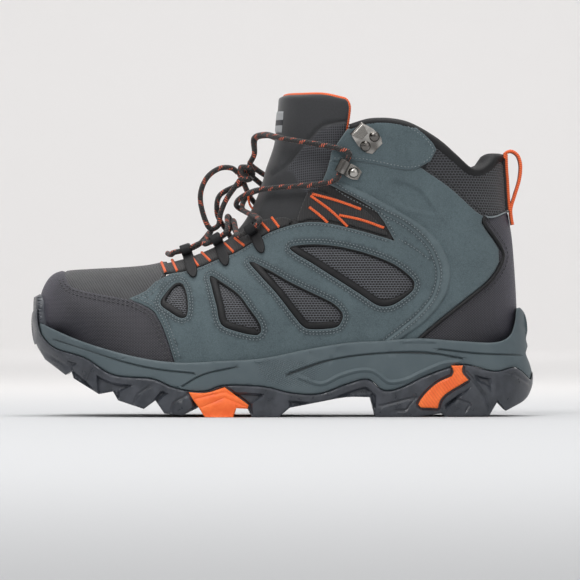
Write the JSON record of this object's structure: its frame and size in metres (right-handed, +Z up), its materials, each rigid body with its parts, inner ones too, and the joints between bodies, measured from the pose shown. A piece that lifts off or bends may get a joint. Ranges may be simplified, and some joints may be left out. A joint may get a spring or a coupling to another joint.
{
  "type": "hiking boot",
  "caption": "Left mid-height lace-up hiking boot with a lugged rubber outsole, a foam midsole, a suede and mesh upper, metal lacing hardware and a tied lace.",
  "frame": {"origin": "centre of the footprint at the lowest lugs, on the surface that the boot stands on", "axes": "-X to the toe, +X to the heel, -Y to the outer (lateral) side, +Z up out of the ankle opening"},
  "size_m": [0.31, 0.119, 0.1983],
  "materials": {
    "suede": "matt nubuck",
    "ballistic": "coarse plain weave",
    "mesh": "open knit",
    "webbing": "ribbed weave",
    "orange_webbing": "ribbed weave",
    "lining": "brushed",
    "foam": "cloth-faced foam",
    "midsole": "matt foam",
    "rubber": "satin",
    "orange_rubber": "satin",
    "board": "pressed fibre",
    "stiffener": "moulded",
    "nickel": "antique nickel plate",
    "label": "woven",
    "lace": "round braid",
    "plastic": "smooth"
  },
  "bodies": {
    "boot": {"toe_cap": "ballistic", "heel_counter": "ballistic", "vamp": "mesh", "collar_mesh": "mesh", "mesh_underlay_lateral": "mesh", "mesh_underlay_medial": "mesh", "quarter_lateral": "suede", "quarter_medial": "suede", "ankle_patch_lateral": "suede", "ankle_patch_medial": "suede", "vamp_lining": "lining", "heel_lining": "lining", "quarter_lining_lateral": "lining", "quarter_lining_medial": "lining", "toe_puff": "stiffener", "heel_stiffener": "stiffener", "shank": "stiffener", "collar_foam": "foam", "gore_lateral": "webbing", "gore_medial": "webbing", "throat_webbing_lateral": "webbing", "throat_webbing_medial": "webbing", "lace_loop_lateral_1": "webbing", "lace_loop_lateral_2": "webbing", "lace_loop_lateral_3": "webbing", "lace_loop_medial_1": "webbing", "lace_loop_medial_2": "webbing", "lace_loop_medial_3": "webbing", "pull_loop": "webbing", "instep_webbing_lateral": "orange_webbing", "instep_webbing_medial": "orange_webbing", "eyelet_rivet_lateral": "nickel", "eyelet_rivet_medial": "nickel", "hook_lateral": "nickel", "hook_medial": "nickel", "hook_rivet_lateral_1": "nickel", "hook_rivet_lateral_2": "nickel", "hook_rivet_medial_1": "nickel", "hook_rivet_medial_2": "nickel", "lacing": "lace", "lace_knot": "lace", "bow_front": "lace", "bow_inner": "lace", "lace_end_upper": "lace", "lace_end_lower": "lace", "aglet_upper": "plastic", "aglet_lower": "plastic", "outsole": "rubber", "forefoot_insert": "orange_rubber", "heel_insert_lateral": "orange_rubber", "heel_insert_medial": "orange_rubber", "midsole": "midsole", "lasting_board": "board"},
    "tongue": {"tongue": "mesh", "tongue_lining": "orange_webbing", "tongue_label": "label", "lace_keeper": "webbing"},
    "footbed": {"footbed": "foam"},
    "eyelet_lateral": {"eyelet_lateral": "nickel"},
    "eyelet_medial": {"eyelet_medial": "nickel"}
  },
  "joints": [
    {"name": "tongue_hinge", "type": "hinge", "parent": "boot", "child": "tongue", "pos_m": [-0.066, 0, 0.092], "axis": [0, 1, 0], "range_deg": [0, 4], "stiffness_Nm_per_rad": 2},
    {"name": "footbed_lift", "type": "hinge", "parent": "boot", "child": "footbed", "pos_m": [-0.1209, 0, 0.04145], "axis": [0, -1, 0], "range_deg": [0, 4]},
    {"name": "eyelet_swivel_lateral", "type": "hinge", "parent": "boot", "child": "eyelet_lateral", "pos_m": [0.0438, -0.0388, 0.1498], "axis": [0.016, -0.9999, -0.0003], "range_deg": [-6, 6]},
    {"name": "eyelet_swivel_medial", "type": "hinge", "parent": "boot", "child": "eyelet_medial", "pos_m": [0.0438, 0.0338, 0.1498], "axis": [-0.016, 0.9999, -0.0003], "range_deg": [-6, 6]}
  ]
}
